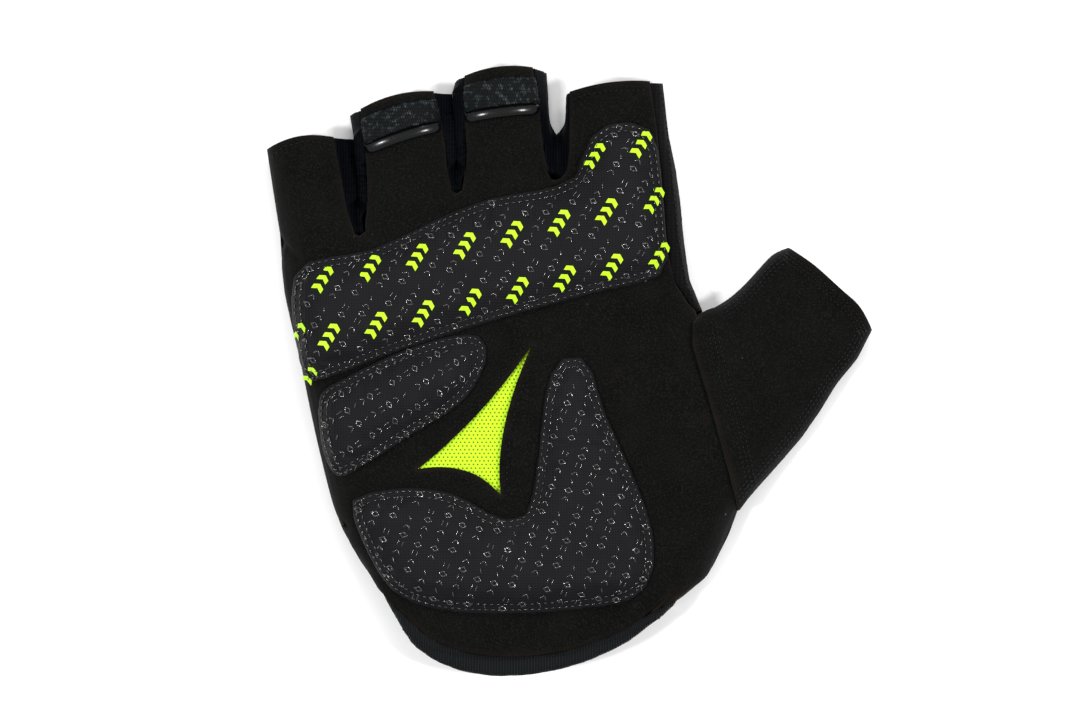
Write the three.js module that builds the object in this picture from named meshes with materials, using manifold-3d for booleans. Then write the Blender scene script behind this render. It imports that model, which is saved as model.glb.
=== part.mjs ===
// A right-hand fingerless cycling glove that lies on its back with the palm up, in millimetres.
// The origin is on the surface under the glove's middle. +X runs towards the thumb, +Y towards the fingers
// and +Z out of the palm. Every panel is laid out flat, seen from above, and shaped over one hollow form.
import * as THREE from 'three';
import { mergeVertices } from 'three/addons/utils/BufferGeometryUtils.js';
import Module from 'manifold-3d';

const wasm = await Module();
wasm.setup();

// Driving sizes of the whole glove
const GLOVE_LENGTH = 155; // wrist edge to the end of the middle stall
const PALM_WIDTH = 100; // flat width across the knuckle pad
const PALM_RISE = 12; // height of the palm side above the side seam, where it is fullest
const SEAM_HEIGHT = 5.5; // height of the side seam above the surface that the glove lies on
const PALM_ROUNDING = 9; // how far in from the side seam the palm side rounds over
const BACK_ROUNDING = 7; // the same on the back of the hand
const THUMB_RISE = 0.66; // share of the palm's rise that is left at the thumb's opening
const SEAM_GAP = 0.3; // space between two panels that are sewn together

// Cloth thicknesses
const SUEDE_WALL = 1.2;
const BACK_WALL = 1.3;
const FOURCHETTE_WALL = 0.9;
const MESH_WALL = 0.9;
const TAPE_WALL = 0.9;
const HEM_TURNING = 0.7; // extra thickness of the turned hem at each stall's end

// Finger stalls
const SLOT_DROP = 2.6; // how far the palm panel dips towards a slot between two stalls
const SLOT_REACH = 7; // how wide that dip is
const FOURCHETTE_BULGE = 0.8; // how far a side wall of a stall bellies out

// Pads, inset, tabs, thumb lap and wrist binding
const PAD_HEIGHT = 2.6;
const PAD_EDGE = 0.9; // height of a pad at its sewn rim
const PAD_SHOULDER = 6; // how far in from the rim a pad reaches its full height
const INSET_ALLOWANCE = 2.5; // mesh that is sewn under the suede around the window
const TAB_WIDTH = 7.2;
const TAB_MARGIN = 2.6; // suede left between a pull tab and the stall's end
const TAB_STAND = 2.3; // how far the tab's free edge stands off the stall
const THUMB_LAP = 3; // how far the thumb panel overlaps the palm panel
const THUMB_SETTLE = 9; // how far from its seam the lapped thumb panel comes down to the form
const BINDING_WIDTH = 5.2;
const BINDING_THICKNESS = 2.6;

// Fineness of the meshes
const FINGER_COLUMNS = [7, 5, 5, 7];
const PALM_ROWS = 14;
const STALL_ROWS = 6;
const BACK_ROWS = 12;
const BACK_STALL_ROWS = 5;
const THUMB_COLUMNS = 11;
const THUMB_ROWS = 7;
const TAB_COLUMNS = 10;
const TAB_ROWS = 4;
const BINDING_STATIONS = 20;
const SLOT_STATIONS = 6;
const PAD_GRID = 3.6;

// An outline's rows are [across, along]: across is a share of PALM_WIDTH towards the thumb
// from the middle line, and along is a share of GLOVE_LENGTH from the wrist's lowest point.
const outline = (rows) =>
  rows.map(([across, along]) => new THREE.Vector3(across * PALM_WIDTH, along * GLOVE_LENGTH, 0));

const littleSide = outline([
  [-0.309, 0.147], [-0.362, 0.201], [-0.410, 0.261], [-0.460, 0.380], [-0.506, 0.520],
  [-0.549, 0.645], [-0.553, 0.711], [-0.572, 0.788], [-0.590, 0.864],
]);
const wristEdge = outline([
  [-0.309, 0.147], [-0.248, 0.108], [-0.170, 0.065], [-0.071, 0.041], [0.056, 0.036],
  [0.203, 0.052], [0.354, 0.092], [0.466, 0.134],
]);
const heelSide = outline([
  [0.466, 0.134], [0.516, 0.158], [0.562, 0.212], [0.603, 0.273],
]);
const thumbSeam = outline([
  [0.603, 0.273], [0.572, 0.356], [0.527, 0.461], [0.504, 0.510], [0.486, 0.556],
  [0.504, 0.592],
]);
const thumbUpper = outline([
  [0.504, 0.592], [0.530, 0.601], [0.572, 0.616], [0.618, 0.641], [0.699, 0.696],
  [0.732, 0.704],
]);
const thumbOpening = outline([
  [0.732, 0.704], [0.800, 0.673], [0.861, 0.637], [0.911, 0.608], [0.944, 0.569],
]);
const thumbLower = outline([
  [0.603, 0.273], [0.658, 0.314], [0.780, 0.405], [0.861, 0.487], [0.911, 0.526],
  [0.944, 0.569],
]);
const indexSeam = outline([
  [0.504, 0.593], [0.471, 0.618], [0.441, 0.650], [0.425, 0.699], [0.414, 0.790],
  [0.392, 0.928], [0.380, 0.975],
]);
const indexSide = outline([
  [0.514, 0.600], [0.491, 0.627], [0.478, 0.667], [0.461, 0.765], [0.446, 0.837],
  [0.428, 0.895], [0.415, 0.972],
]);

// The ends of the slots between the stalls, from the little finger's side to the index finger's
const palmRoots = outline([
  [-0.553, 0.711], [-0.354, 0.724], [-0.109, 0.794], [0.142, 0.812], [0.414, 0.790],
]);
const backRoots = outline([
  [-0.572, 0.788], [-0.362, 0.804], [-0.106, 0.863], [0.144, 0.889], [0.446, 0.837],
]);
// The two edges of each slot in the palm panel, from its end to the stalls' ends
const palmSlots = [
  {
    left: outline([[-0.354, 0.724], [-0.377, 0.745], [-0.400, 0.814], [-0.420, 0.884]]),
    right: outline([[-0.354, 0.724], [-0.337, 0.748], [-0.334, 0.797], [-0.339, 0.863], [-0.352, 0.930]]),
  },
  {
    left: outline([[-0.109, 0.794], [-0.129, 0.817], [-0.139, 0.876], [-0.167, 0.959]]),
    right: outline([[-0.109, 0.794], [-0.084, 0.827], [-0.086, 0.895], [-0.089, 0.984]]),
  },
  {
    left: outline([[0.142, 0.812], [0.119, 0.838], [0.101, 0.925], [0.084, 0.998]]),
    right: outline([[0.142, 0.812], [0.170, 0.830], [0.177, 0.895], [0.177, 0.958]]),
  },
];
// The narrower slots of the back panel, on which the slanting fourchettes end
const backSlots = [
  {
    left: outline([[-0.362, 0.804], [-0.374, 0.838], [-0.382, 0.879]]),
    right: outline([[-0.362, 0.804], [-0.360, 0.846], [-0.370, 0.882], [-0.380, 0.920]]),
  },
  {
    left: outline([[-0.106, 0.863], [-0.116, 0.892], [-0.121, 0.928], [-0.127, 0.952]]),
    right: outline([[-0.106, 0.863], [-0.104, 0.892], [-0.109, 0.928], [-0.114, 0.974]]),
  },
  {
    left: outline([[0.144, 0.889], [0.129, 0.905], [0.124, 0.944], [0.119, 0.990]]),
    right: outline([[0.144, 0.889], [0.162, 0.902], [0.172, 0.928], [0.175, 0.954]]),
  },
];
// The bow of each stall's end above a straight line between its corners, as a share of the stall's width
const TIP_BOW = [0.10, 0.07, 0.07, 0.05];

// How full the palm side is along the glove: share is a share of PALM_RISE
const fullness = [
  { along: 0.00, share: 0.58 },
  { along: 0.15, share: 0.76 },
  { along: 0.32, share: 0.96 },
  { along: 0.55, share: 1.00 },
  { along: 0.72, share: 0.92 },
  { along: 0.86, share: 0.76 },
  { along: 1.00, share: 0.66 },
];
// How much of BINDING_WIDTH shows along the wrist, from the little finger's side to the thumb's
const bindingShow = [
  { across: 0.00, share: 0.05 },
  { across: 0.08, share: 0.32 },
  { across: 0.18, share: 0.82 },
  { across: 0.30, share: 1.00 },
  { across: 0.45, share: 1.00 },
  { across: 0.65, share: 0.84 },
  { across: 0.82, share: 0.62 },
  { across: 0.94, share: 0.32 },
  { across: 1.00, share: 0.05 },
];

const knucklePad = outline([
  [-0.487, 0.483], [-0.512, 0.545], [-0.527, 0.620], [-0.505, 0.672], [-0.430, 0.688],
  [-0.329, 0.699], [-0.157, 0.750], [-0.020, 0.784], [0.130, 0.801], [0.190, 0.817],
  [0.223, 0.877], [0.268, 0.903], [0.334, 0.908], [0.385, 0.893], [0.404, 0.845],
  [0.418, 0.745], [0.424, 0.675], [0.405, 0.657], [0.228, 0.627], [-0.025, 0.582],
  [-0.278, 0.529], [-0.440, 0.489],
]);
const sidePad = outline([
  [-0.450, 0.466], [-0.392, 0.490], [-0.250, 0.534], [-0.114, 0.560], [-0.050, 0.559],
  [-0.031, 0.531], [-0.060, 0.479], [-0.118, 0.439], [-0.219, 0.399], [-0.303, 0.363],
  [-0.361, 0.341], [-0.405, 0.328], [-0.434, 0.350], [-0.456, 0.410],
]);
const heelPad = outline([
  [-0.372, 0.292], [-0.309, 0.307], [-0.208, 0.312], [-0.110, 0.301], [0.010, 0.261],
  [0.062, 0.266], [0.084, 0.304], [0.119, 0.474], [0.145, 0.516], [0.187, 0.529],
  [0.226, 0.514], [0.262, 0.442], [0.354, 0.307], [0.390, 0.229], [0.384, 0.165],
  [0.340, 0.132], [0.200, 0.114], [0.000, 0.107], [-0.170, 0.115], [-0.266, 0.141],
  [-0.335, 0.208],
]);
// The window for the mesh has three pointed tips, and each side bows inwards by a share of its own length
const windowTips = [
  { across: 0.078, along: 0.539, bow: 0.045 },
  { across: -0.210, along: 0.341, bow: 0.150 },
  { across: 0.003, along: 0.300, bow: 0.085 },
];

// Curves and tables

function spline(points, closed = false) {
  return new THREE.CatmullRomCurve3(points, closed, 'centripetal');
}

// An edge runs from t = 0 to t = 1, and gives a point seen from above.
function edge(points) {
  const curve = spline(points);
  return (t) => curve.getPointAt(THREE.MathUtils.clamp(t, 0, 1));
}

function fromTable(rows, key, value) {
  const above = rows.findIndex((row) => row[key] >= value);
  if (above === 0) return rows[0].share;
  if (above < 0) return rows[rows.length - 1].share;
  const [low, high] = [rows[above - 1], rows[above]];
  const t = (value - low[key]) / (high[key] - low[key]);
  return THREE.MathUtils.lerp(low.share, high.share, t);
}

// A straight stall end that bows outwards between its two corners
function bowedEdge(from, to, bow) {
  const middle = from.clone().lerp(to, 0.5);
  const width = from.distanceTo(to);
  const outwards = new THREE.Vector3(from.y - to.y, to.x - from.x, 0).normalize();
  const control = middle.addScaledVector(outwards, 2 * bow * width);
  const curve = new THREE.QuadraticBezierCurve3(from, control, to);
  return (t) => curve.getPoint(t);
}

// The hollow form that the panels are shaped over

const polyline = (points) => spline(points).getSpacedPoints(points.length * 8);
const sideSeams = [littleSide, heelSide, thumbLower, thumbUpper, indexSide].map(polyline);
const slotEdges = palmSlots.flatMap((slot) => [polyline(slot.left), polyline(slot.right)]);
const silhouette = [
  ...polyline(littleSide),
  ...polyline(indexSide).reverse(),
  ...polyline(thumbUpper),
  ...polyline(thumbOpening),
  ...polyline(thumbLower).reverse(),
  ...polyline(heelSide).reverse(),
  ...polyline(wristEdge).reverse(),
];
const thumbRoot = thumbSeam[0].clone().lerp(thumbSeam.at(-1), 0.5);
const thumbEnd = thumbOpening[0].clone().lerp(thumbOpening.at(-1), 0.5);

function distanceTo(lines, x, y) {
  const spot = new THREE.Vector3(x, y, 0);
  const segment = new THREE.Line3();
  const nearest = new THREE.Vector3();
  let least = Infinity;
  for (const line of lines) {
    for (let i = 1; i < line.length; i += 1) {
      segment.set(line[i - 1], line[i]);
      segment.closestPointToPoint(spot, true, nearest);
      least = Math.min(least, nearest.distanceTo(spot));
    }
  }
  return least;
}

function isInside(line, x, y) {
  let inside = false;
  for (let i = 0, j = line.length - 1; i < line.length; j = i, i += 1) {
    const [a, b] = [line[i], line[j]];
    const crosses = a.y > y !== b.y > y;
    if (crosses && x < ((b.x - a.x) * (y - a.y)) / (b.y - a.y) + a.x) inside = !inside;
  }
  return inside;
}

// A quarter round: 0 on the side seam, 1 from the rounding's width inwards
function rounded(distance, rounding) {
  const t = 1 - Math.min(distance / rounding, 1);
  return Math.sqrt(1 - t * t);
}

const ON_SEAM = 0.35; // a point this near the side seam is on it
function seamDistance(x, y) {
  const distance = distanceTo(sideSeams, x, y);
  return distance < ON_SEAM ? 0 : distance;
}

function palmRise(x, y) {
  const along = fromTable(fullness, 'along', y / GLOVE_LENGTH);
  const ontoThumb = THREE.MathUtils.smoothstep(x, thumbRoot.x, thumbEnd.x);
  return PALM_RISE * along * THREE.MathUtils.lerp(1, THUMB_RISE, ontoThumb);
}

function palmHeight(x, y) {
  const dip = Math.max(0, 1 - distanceTo(slotEdges, x, y) / SLOT_REACH);
  const side = rounded(seamDistance(x, y), PALM_ROUNDING);
  return SEAM_HEIGHT + SEAM_GAP / 2 + side * palmRise(x, y) - SLOT_DROP * dip * dip;
}

function backHeight(x, y) {
  const low = SEAM_HEIGHT - SEAM_GAP / 2;
  return low * (1 - rounded(seamDistance(x, y), BACK_ROUNDING));
}

const onPalm = (p) => new THREE.Vector3(p.x, p.y, palmHeight(p.x, p.y));
const onBack = (p) => new THREE.Vector3(p.x, p.y, backHeight(p.x, p.y));

// Cloth: a skin of quads that becomes a wall of even thickness

class Skin {
  // keepSeamLevel keeps the wall level where the skin meets the side seam.
  // facesDown is for the back of the hand.
  constructor({ keepSeamLevel = false, facesDown = false } = {}) {
    this.points = [];
    this.turnings = [];
    this.quads = [];
    this.known = new Map();
    this.keepSeamLevel = keepSeamLevel;
    this.facesDown = facesDown;
  }

  vertex(point, turning) {
    const key = point.toArray().map((v) => v.toFixed(3)).join();
    if (!this.known.has(key)) {
      this.known.set(key, this.points.length);
      this.points.push(point);
      this.turnings.push(0);
    }
    const index = this.known.get(key);
    this.turnings[index] = Math.max(this.turnings[index], turning);
    return index;
  }

  // Adds rows of points as quads. turningOf gives the extra thickness of each row.
  add(rows, turningOf = () => 0) {
    const indices = rows.map((row, r) => row.map((point) => this.vertex(point, turningOf(r))));
    for (let r = 1; r < rows.length; r += 1) {
      for (let c = 1; c < rows[r].length; c += 1) {
        const quad = [indices[r - 1][c - 1], indices[r - 1][c], indices[r][c], indices[r][c - 1]];
        this.quads.push(this.facesDown ? quad.reverse() : quad);
      }
    }
    return this;
  }

  normals() {
    const normals = this.points.map(() => new THREE.Vector3());
    for (const [a, b, c, d] of this.quads) {
      const first = this.points[c].clone().sub(this.points[a]);
      const normal = first.cross(this.points[d].clone().sub(this.points[b]));
      [a, b, c, d].forEach((i) => normals[i].add(normal));
    }
    normals.forEach((normal, i) => {
      if (Math.abs(this.points[i].z - SEAM_HEIGHT) <= SEAM_GAP && this.keepSeamLevel) normal.z = 0;
      normal.normalize();
    });
    return normals;
  }

  // The edges that only one quad has, as pairs of vertices
  openEdges() {
    const open = new Map();
    for (const corners of this.quads) {
      corners.forEach((from, i) => {
        const to = corners[(i + 1) % 4];
        if (!open.delete(`${to},${from}`)) open.set(`${from},${to}`, [from, to]);
      });
    }
    return [...open.values()];
  }

  // A closed wall from outer to inner, both measured along the skin's normal. Each is a number or a function.
  // spread is how far the wall also grows past the skin's open edges.
  wall(outer, inner, spread = 0) {
    const normals = this.normals();
    const open = this.openEdges();
    const growth = this.points.map(() => new THREE.Vector3());
    for (const [from, to] of open) {
      const along = this.points[to].clone().sub(this.points[from]).normalize();
      [from, to].forEach((i) => growth[i].add(along.clone().cross(normals[i])));
    }
    const lift = (distance, i) => {
      const reach = typeof distance === 'function' ? distance(this.points[i]) : distance;
      const point = this.points[i].clone().addScaledVector(normals[i], reach);
      return point.addScaledVector(growth[i].clone().normalize(), spread);
    };
    const count = this.points.length;
    const vertices = [
      ...this.points.map((_, i) => lift(outer, i)),
      ...this.points.map((_, i) => lift(inner, i).addScaledVector(normals[i], -this.turnings[i])),
    ];
    const triangles = [];
    const quad = (a, b, c, d) => triangles.push(a, b, c, a, c, d);
    for (const [a, b, c, d] of this.quads) {
      quad(a, b, c, d);
      quad(count + d, count + c, count + b, count + a);
    }
    for (const [from, to] of open) quad(to, from, count + from, count + to);
    return solid(vertices, triangles);
  }
}

// A closed solid from its corners and triangles, whichever way round they run
function solid(vertices, triangles) {
  const mesh = (triVerts) =>
    new wasm.Manifold(
      new wasm.Mesh({
        numProp: 3,
        vertProperties: new Float32Array(vertices.flatMap((v) => v.toArray())),
        triVerts: new Uint32Array(triVerts),
      }),
    );
  const made = mesh(triangles);
  return made.volume() > 0 ? made : mesh([...triangles].reverse());
}

function fromGeometry(geometry) {
  geometry.deleteAttribute('normal');
  geometry.deleteAttribute('uv');
  const merged = mergeVertices(geometry, 1e-4);
  const position = merged.getAttribute('position');
  const vertexAt = (i) => new THREE.Vector3().fromBufferAttribute(position, i);
  const vertices = [...Array(position.count).keys()].map(vertexAt);
  return solid(vertices, [...merged.index.array]);
}

const without = (made, ...zones) => zones.reduce((left, zone) => left.subtract(zone), made);

// The largest piece, so that a cut leaves no crumbs
function largest(made) {
  return made.decompose().sort((a, b) => b.volume() - a.volume())[0];
}

// A patch between four edges: bottom and top run the same way, and so do left and right.
function patch({ bottom, top, left, right, columns, rows, shape }) {
  const corner = [bottom(0), bottom(1), top(0), top(1)];
  return rows.map((v) =>
    columns.map((u) => {
      const point = new THREE.Vector3()
        .addScaledVector(bottom(u), 1 - v)
        .addScaledVector(top(u), v)
        .addScaledVector(left(v), 1 - u)
        .addScaledVector(right(v), u)
        .addScaledVector(corner[0], -(1 - u) * (1 - v))
        .addScaledVector(corner[1], -u * (1 - v))
        .addScaledVector(corner[2], -(1 - u) * v)
        .addScaledVector(corner[3], -u * v);
      return shape(point);
    }),
  );
}

const shares = (count) => [...Array(count + 1).keys()].map((i) => i / count);
const CROWDING = 1.6; // how strongly columns crowd towards a side seam
const crowdedAtStart = (count) => shares(count).map((t) => t ** CROWDING);
const crowdedAtEnd = (count) => shares(count).map((t) => 1 - (1 - t) ** CROWDING);
const THUMB_CROWDING = 0.75;
const crowdedAtBoth = (count) =>
  shares(count).map((t) => t - (THUMB_CROWDING * Math.sin(2 * Math.PI * t)) / (2 * Math.PI));

// The palm side and the back side: one patch for the hand and one for each stall, joined at the roots

const CORNER_TRIES = 400;
const below = (points, root) => [...points.filter((p) => p.y < root.y - 1), root];
const above = (points, root) => [root, ...points.filter((p) => p.y > root.y + 1)];
const fingerShares = FINGER_COLUMNS.map((count, i) => {
  if (i === 0) return crowdedAtStart(count);
  return i === 3 ? crowdedAtEnd(count) : shares(count);
});

// Even rows up an edge, with the nearest row moved onto each of the edge's corners
function rowsThrough(corners, side, count) {
  const rows = shares(count);
  const tried = shares(CORNER_TRIES);
  for (const corner of corners) {
    const away = (t) => side(t).distanceTo(corner);
    const share = tried.reduce((best, t) => (away(t) < away(best) ? t : best));
    rows[Math.round(share * count)] = share;
  }
  return rows;
}

function handSide({ roots, slots, inner, outerSide, corners, shape, handRows, stallRows }) {
  const segment = (i) => edge([roots[i], roots[i + 1]]);
  const rootLength = roots[4].x - roots[0].x;
  const columns = [0];
  const rootPoints = [roots[0]];
  fingerShares.forEach((steps, i) => {
    steps.slice(1).forEach((t) => {
      const point = segment(i)(t);
      rootPoints.push(point);
      columns.push((point.x - roots[0].x) / rootLength);
    });
  });
  const left = edge(below(littleSide, roots[0]));
  const right = edge(below(outerSide, roots[4]));
  const wrist = edge(wristEdge);
  const top = (u) => rootPoints[columns.indexOf(u)] ?? rootPoints.at(u < 0.5 ? 0 : -1);
  const rows = rowsThrough(corners, right, handRows);
  const hand = patch({ bottom: wrist, top, left, right, columns, rows, shape });
  const stalls = fingerShares.map((steps, i) => {
    const from = i === 0 ? above(littleSide, roots[0]) : slots[i - 1].right;
    const to = i === 3 ? above(inner, roots[4]) : slots[i].left;
    const tip = bowedEdge(from.at(-1), to.at(-1), TIP_BOW[i]);
    const sides = { bottom: segment(i), top: tip, left: edge(from), right: edge(to), shape };
    return { ...sides, grid: patch({ ...sides, columns: steps, rows: shares(stallRows) }) };
  });
  return { hand, stalls };
}

function clothOf({ hand, stalls }, hemRows, facesDown) {
  const skin = new Skin({ keepSeamLevel: true, facesDown });
  skin.add(hand);
  for (const { grid } of stalls) {
    skin.add(grid, (r) => (r > grid.length - 1 - hemRows ? HEM_TURNING : 0));
  }
  return skin;
}

const lappedSeam = thumbSeam.slice(1, -1).map((p) => p.clone().setX(p.x + THUMB_LAP));
const palmSide = handSide({
  roots: palmRoots,
  slots: palmSlots,
  outerSide: [...heelSide, ...lappedSeam, ...indexSeam],
  corners: [heelSide.at(-1)],
  inner: indexSeam,
  shape: onPalm,
  handRows: PALM_ROWS,
  stallRows: STALL_ROWS,
});
const backSide = handSide({
  roots: backRoots,
  slots: backSlots,
  outerSide: [...heelSide, ...thumbSeam.slice(1, -1), ...indexSide],
  corners: [heelSide.at(-1), indexSide[0]],
  inner: indexSide,
  shape: onBack,
  handRows: BACK_ROWS,
  stallRows: BACK_STALL_ROWS,
});

const palmCloth = clothOf(palmSide, 2, false);
const backCloth = clothOf(backSide, 0, true);

// The back panel wraps round the index finger's side, up to the seam on the palm.
const LEAST_WRAP = 0.5;
const WRAP_STEPS = [1, 0.65, 0.3]; // shares of the wrap's width from the side seam
function wrapRows() {
  const seam = polyline(indexSeam);
  const rows = [
    ...backSide.hand.map((row) => row.at(-1)).filter((p) => p.y > indexSide[0].y - ON_SEAM),
    ...backSide.stalls[3].grid.slice(1).map((row) => row.at(-1)),
  ];
  return rows.map((side) => {
    const away = (p) => Math.abs(p.y - side.y);
    const facing = seam.reduce((best, p) => (away(p) < away(best) ? p : best));
    const reach = Math.max(side.x - facing.x - SEAM_GAP, LEAST_WRAP);
    const across = WRAP_STEPS.map((t) => onPalm(new THREE.Vector3(side.x - t * reach, side.y, 0)));
    return [...across, side];
  });
}
backCloth.add(wrapRows().map((row) => row.reverse()));

const EDGE_SPREAD = 0.95 * SEAM_GAP;
const palmZone = palmCloth.wall(SEAM_GAP, -(SUEDE_WALL + SEAM_GAP), EDGE_SPREAD);
const overPalm = palmCloth.wall(SEAM_GAP, -2 * PAD_HEIGHT);
const backZone = backCloth.wall(SEAM_GAP, -(BACK_WALL + SEAM_GAP), EDGE_SPREAD);

// The window in the palm panel

function windowShape(allowance) {
  const tipOf = ({ across, along }) => new THREE.Vector2(across * PALM_WIDTH, along * GLOVE_LENGTH);
  const tips = windowTips.map(tipOf);
  const centre = tips.reduce((sum, tip) => sum.clone().add(tip)).divideScalar(3);
  const grown = tips.map((tip) => tip.clone().add(tip.clone().sub(centre).setLength(allowance)));
  const shape = new THREE.Shape().moveTo(grown[0].x, grown[0].y);
  grown.forEach((from, i) => {
    const to = grown[(i + 1) % 3];
    const length = from.distanceTo(to);
    const inwards = centre.clone().sub(from.clone().lerp(to, 0.5)).normalize();
    const bow = Math.max(2 * windowTips[i].bow * length - allowance, 0);
    const control = from.clone().lerp(to, 0.5).addScaledVector(inwards, bow);
    shape.quadraticCurveTo(control.x, control.y, to.x, to.y);
  });
  return shape;
}

// An upright prism of an outline, tall enough to pass through the whole glove
function prism(shape, divisions) {
  const height = 4 * (PALM_RISE + SEAM_HEIGHT);
  const settings = { depth: height, bevelEnabled: false, curveSegments: divisions };
  const geometry = new THREE.ExtrudeGeometry(shape, settings);
  geometry.translate(0, 0, -height / 4);
  return fromGeometry(geometry);
}

const WINDOW_DIVISIONS = 8;
const palmPanel = largest(
  palmCloth.wall(0, -SUEDE_WALL).subtract(prism(windowShape(0), WINDOW_DIVISIONS)).subtract(backZone),
);
const backPanel = largest(backCloth.wall(0, -BACK_WALL).subtract(palmZone));

// Cloth over an area of the palm: a fine grid over the outline, lifted off the form and cut to the outline
function drape(shape, divisions, step, upper, lower) {
  const box = new THREE.Box2().setFromPoints(shape.getPoints(divisions));
  const size = box.getSize(new THREE.Vector2());
  const counts = [Math.ceil(size.x / step) + 2, Math.ceil(size.y / step) + 2];
  const grid = shares(counts[1]).map((v) =>
    shares(counts[0]).map((u) => {
      const x = box.min.x - step / 2 + u * (size.x + step);
      const y = box.min.y - step / 2 + v * (size.y + step);
      const outside = isInside(silhouette, x, y) ? 0 : distanceTo(sideSeams, x, y);
      return new THREE.Vector3(x, y, (outside ? SEAM_HEIGHT : palmHeight(x, y)) - 2 * outside);
    }),
  );
  return new Skin().add(grid).wall(upper, lower).intersect(prism(shape, divisions));
}

function smoothShape(points, divisions) {
  const spaced = spline(points, true).getSpacedPoints(divisions).slice(0, -1);
  return new THREE.Shape(spaced.map((p) => new THREE.Vector2(p.x, p.y)));
}

const insetCut = drape(
  windowShape(INSET_ALLOWANCE),
  WINDOW_DIVISIONS,
  PAD_GRID,
  -(SUEDE_WALL + SEAM_GAP),
  -(SUEDE_WALL + SEAM_GAP + MESH_WALL),
);
const meshInset = largest(insetCut.subtract(palmZone));

const PAD_DIVISIONS = 48;
function pad(points) {
  const shape = smoothShape(points, PAD_DIVISIONS);
  const rim = [...shape.getPoints(), shape.getPoints()[0]].map((p) => new THREE.Vector3(p.x, p.y, 0));
  const crown = (p) => {
    const inwards = isInside(rim, p.x, p.y) ? distanceTo([rim], p.x, p.y) : 0;
    const share = THREE.MathUtils.smoothstep(inwards, 0, PAD_SHOULDER);
    return SEAM_GAP + THREE.MathUtils.lerp(PAD_EDGE, PAD_HEIGHT, share);
  };
  const cut = drape(shape, PAD_DIVISIONS, PAD_GRID, crown, -PAD_HEIGHT / 2);
  return largest(cut.subtract(overPalm).subtract(backZone));
}

// Fourchettes: the slanting side walls of two stalls and the web between them, in one strip

const LOOK_AHEAD = 0.02; // share of an edge over which its direction is taken
function fourchette(i) {
  const alongSlot = (slot) => {
    const [left, right] = [edge(slot.left), edge(slot.right)];
    return (t) => (t < 0.5 ? left(1 - 2 * t) : right(2 * t - 1));
  };
  const upper = alongSlot(palmSlots[i]);
  const lower = alongSlot(backSlots[i]);
  const heights = [0, 0.25, 0.5, 0.75, 1];
  const rows = shares(2 * SLOT_STATIONS).map((t) => {
    const top = onPalm(upper(t));
    const foot = onBack(lower(t));
    top.z -= SUEDE_WALL + HEM_TURNING + SEAM_GAP;
    foot.z += BACK_WALL + SEAM_GAP;
    const ahead = upper(Math.min(t + LOOK_AHEAD, 1)).sub(upper(Math.max(t - LOOK_AHEAD, 0)));
    const outwards = new THREE.Vector3(-ahead.y, ahead.x, 0).normalize();
    return heights.map((h) =>
      foot.clone().lerp(top, h).addScaledVector(outwards, FOURCHETTE_BULGE * Math.sin(Math.PI * h)),
    );
  });
  const skin = new Skin().add(rows);
  const towardsSlot = skin.normals()[Math.floor(heights.length / 2)].x > 0;
  const made = towardsSlot ? skin.wall(0, -FOURCHETTE_WALL) : skin.wall(FOURCHETTE_WALL, 0);
  return largest(made.subtract(palmZone).subtract(backZone));
}

// The thumb: a front panel lapped onto the palm, and a back panel beside the back of the hand

function thumbSide(shape, facesDown) {
  return new Skin({ keepSeamLevel: true, facesDown }).add(
    patch({
      bottom: edge([...thumbSeam].reverse()),
      top: edge(thumbOpening),
      left: edge(thumbUpper),
      right: edge(thumbLower),
      columns: crowdedAtBoth(THUMB_COLUMNS),
      rows: shares(THUMB_ROWS),
      shape,
    }),
    (r) => (r > THUMB_ROWS - 1 ? HEM_TURNING : 0),
  );
}

const thumbFrontCloth = thumbSide(onPalm, false);
const thumbBackCloth = thumbSide(onBack, true);
const seamLine = polyline(thumbSeam);
const lapLift = (p) => {
  const settled = THREE.MathUtils.smoothstep(distanceTo([seamLine], p.x, p.y), THUMB_LAP, THUMB_SETTLE);
  return (SUEDE_WALL + 2 * SEAM_GAP) * (1 - settled) * rounded(seamDistance(p.x, p.y), THUMB_LAP);
};
const thumbFront = largest(
  without(thumbFrontCloth.wall((p) => lapLift(p), (p) => lapLift(p) - SUEDE_WALL), palmZone, backZone),
);
const thumbFrontZone = thumbFrontCloth.wall(
  (p) => lapLift(p) + SEAM_GAP,
  (p) => lapLift(p) - SUEDE_WALL - SEAM_GAP,
);
const besideBack = backCloth.wall(SEAM_GAP, -(BACK_WALL + SEAM_GAP), 2 * SEAM_GAP);
const thumbBack = largest(
  without(thumbBackCloth.wall(0, -BACK_WALL), besideBack, backPanel, palmZone, thumbFrontZone),
);

// Pull tabs: a tape across the middle and ring stalls, whose lower edge stands off as a loop to pull on

function pullTab(i) {
  const stall = palmSide.stalls[i];
  const length = stall.left(0).distanceTo(stall.left(1));
  const [low, high] = [1 - (TAB_MARGIN + TAB_WIDTH) / length, 1 - TAB_MARGIN / length];
  const across = shares(TAB_COLUMNS);
  const steps = shares(TAB_ROWS);
  const heights = steps.map((t) => THREE.MathUtils.lerp(low, high, t));
  const rows = patch({ ...stall, columns: across, rows: heights });
  const skin = new Skin().add(rows);
  const stand = new Map();
  rows.forEach((row, r) => {
    row.forEach((point, c) => {
      const bowed = Math.sqrt(Math.sin(Math.PI * across[c])) || 0;
      stand.set(point, SEAM_GAP + TAB_STAND * bowed * (1 - steps[r]) ** 1.5);
    });
  });
  const made = skin.wall((p) => stand.get(p) + TAPE_WALL, (p) => stand.get(p));
  return largest(made.subtract(palmZone));
}

// Wrist binding: one ribbed band round the whole opening, against the edges of both panels

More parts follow.
